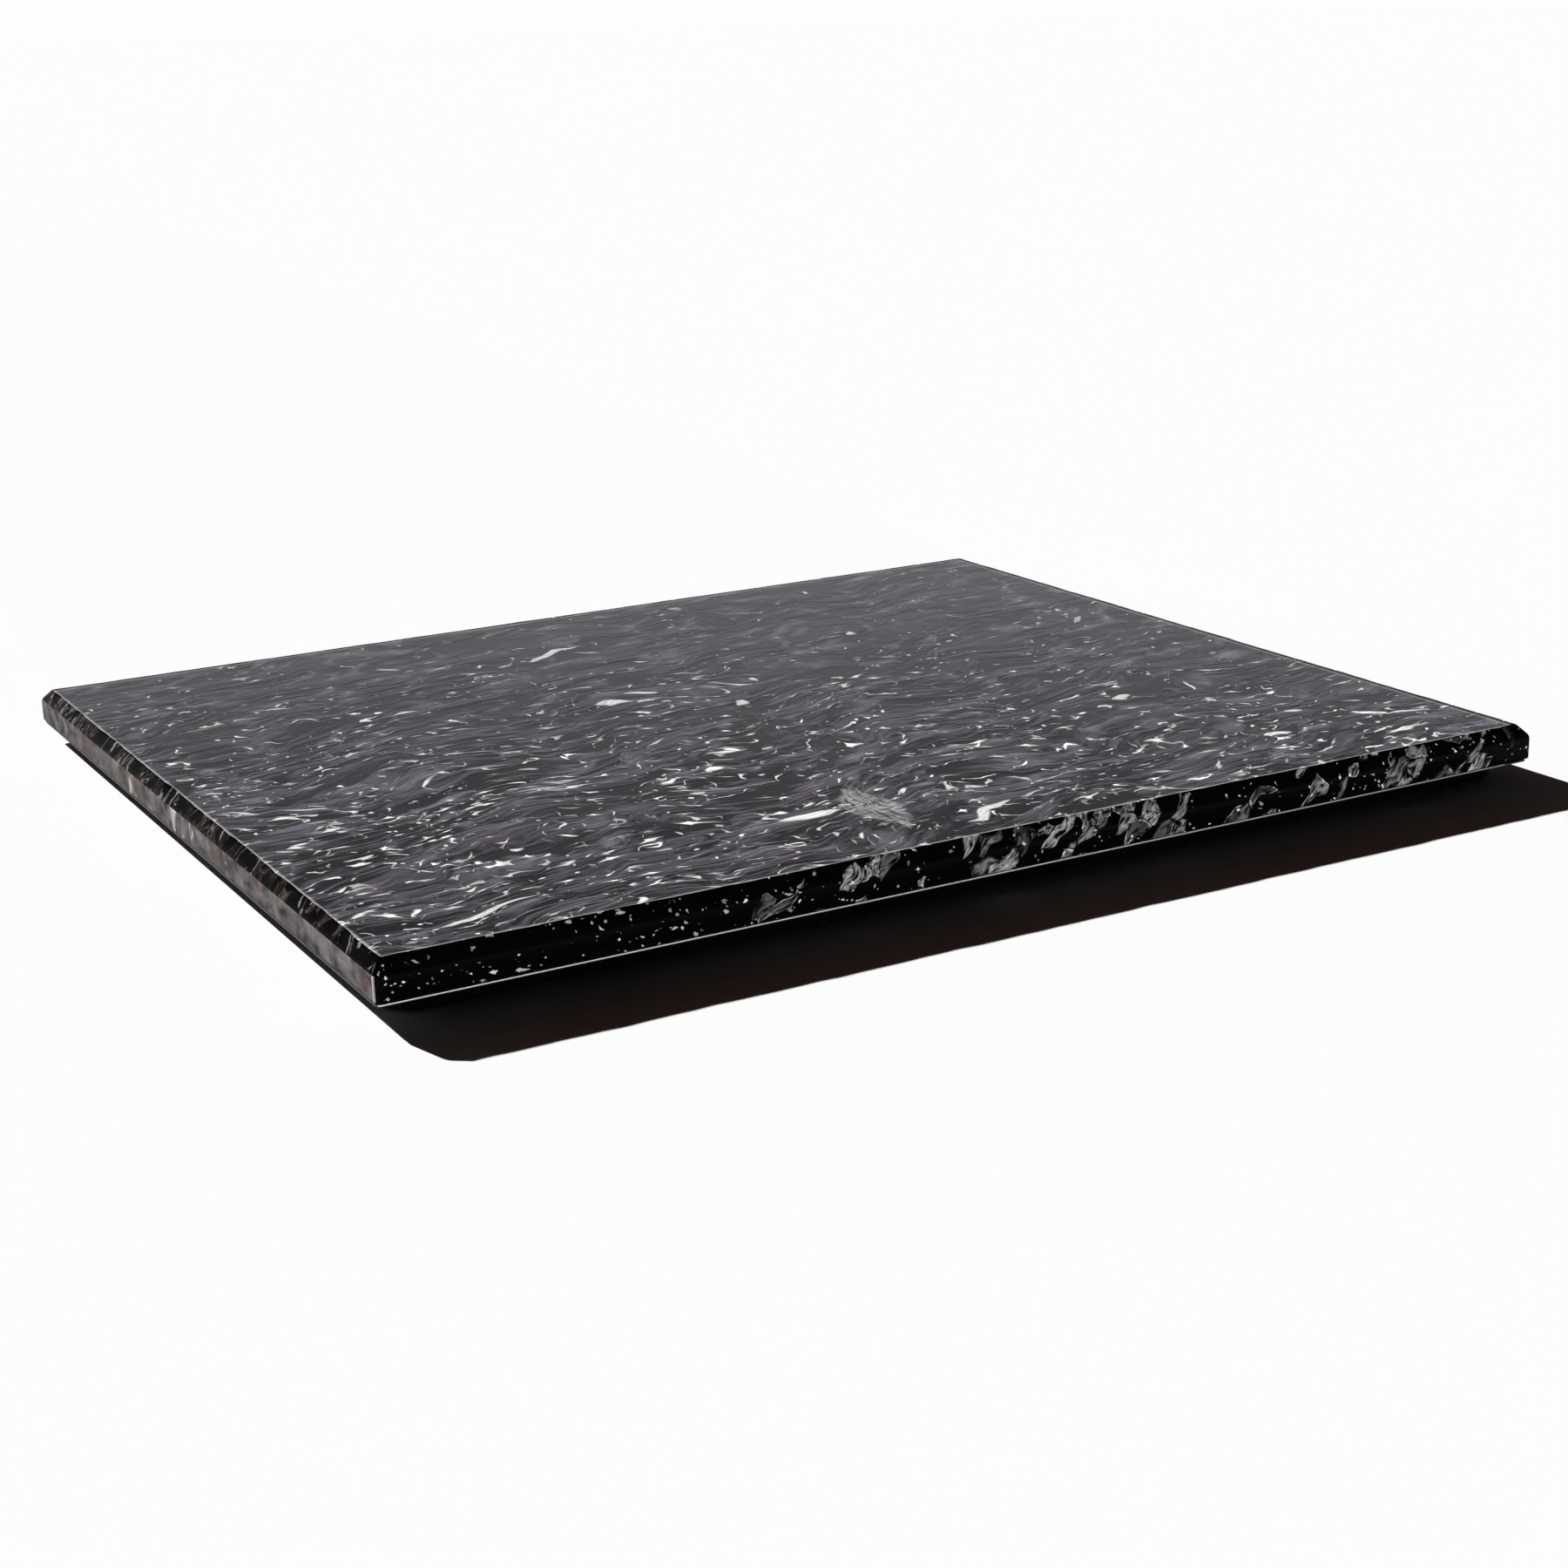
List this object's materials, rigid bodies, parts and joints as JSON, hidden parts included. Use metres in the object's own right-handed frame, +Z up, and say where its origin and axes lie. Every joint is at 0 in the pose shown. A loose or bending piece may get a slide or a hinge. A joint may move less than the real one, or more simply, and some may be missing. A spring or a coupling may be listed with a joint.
{
  "type": "stone tooling slab",
  "caption": "Rectangular black stone work slab with chamfered top edges, stuck to a smaller recessed base board on flush rubber pads, for cutting, punching and tooling leather.",
  "frame": {"origin": "on the surface the slab stands on, under the middle of the slab", "axes": "+X along the slab's long sides, +Y along its short sides from front to back, +Z up out of the work face"},
  "size_m": [0.4, 0.337, 0.0184],
  "materials": {
    "black_stone": "black marble with white fossil flecks and thin calcite veins, honed on top and polished on the edges",
    "glass_fibre_resin": "thin woven glass-fibre sheet set in pale resin",
    "foam_tape": "dark grey double-sided acrylic foam tape",
    "black_board": "black rigid board with a fine matt grain",
    "pad_rubber": "soft black non-slip rubber, matt"
  },
  "bodies": {
    "root": {"stone_slab": "black_stone", "backing_sheet": "glass_fibre_resin", "tape_strip_front": "foam_tape", "tape_strip_middle": "foam_tape", "tape_strip_back": "foam_tape", "base_board": "black_board", "pad_front_left": "pad_rubber", "pad_front_right": "pad_rubber", "pad_back_left": "pad_rubber", "pad_back_right": "pad_rubber", "pad_centre": "pad_rubber"}
  },
  "joints": []
}
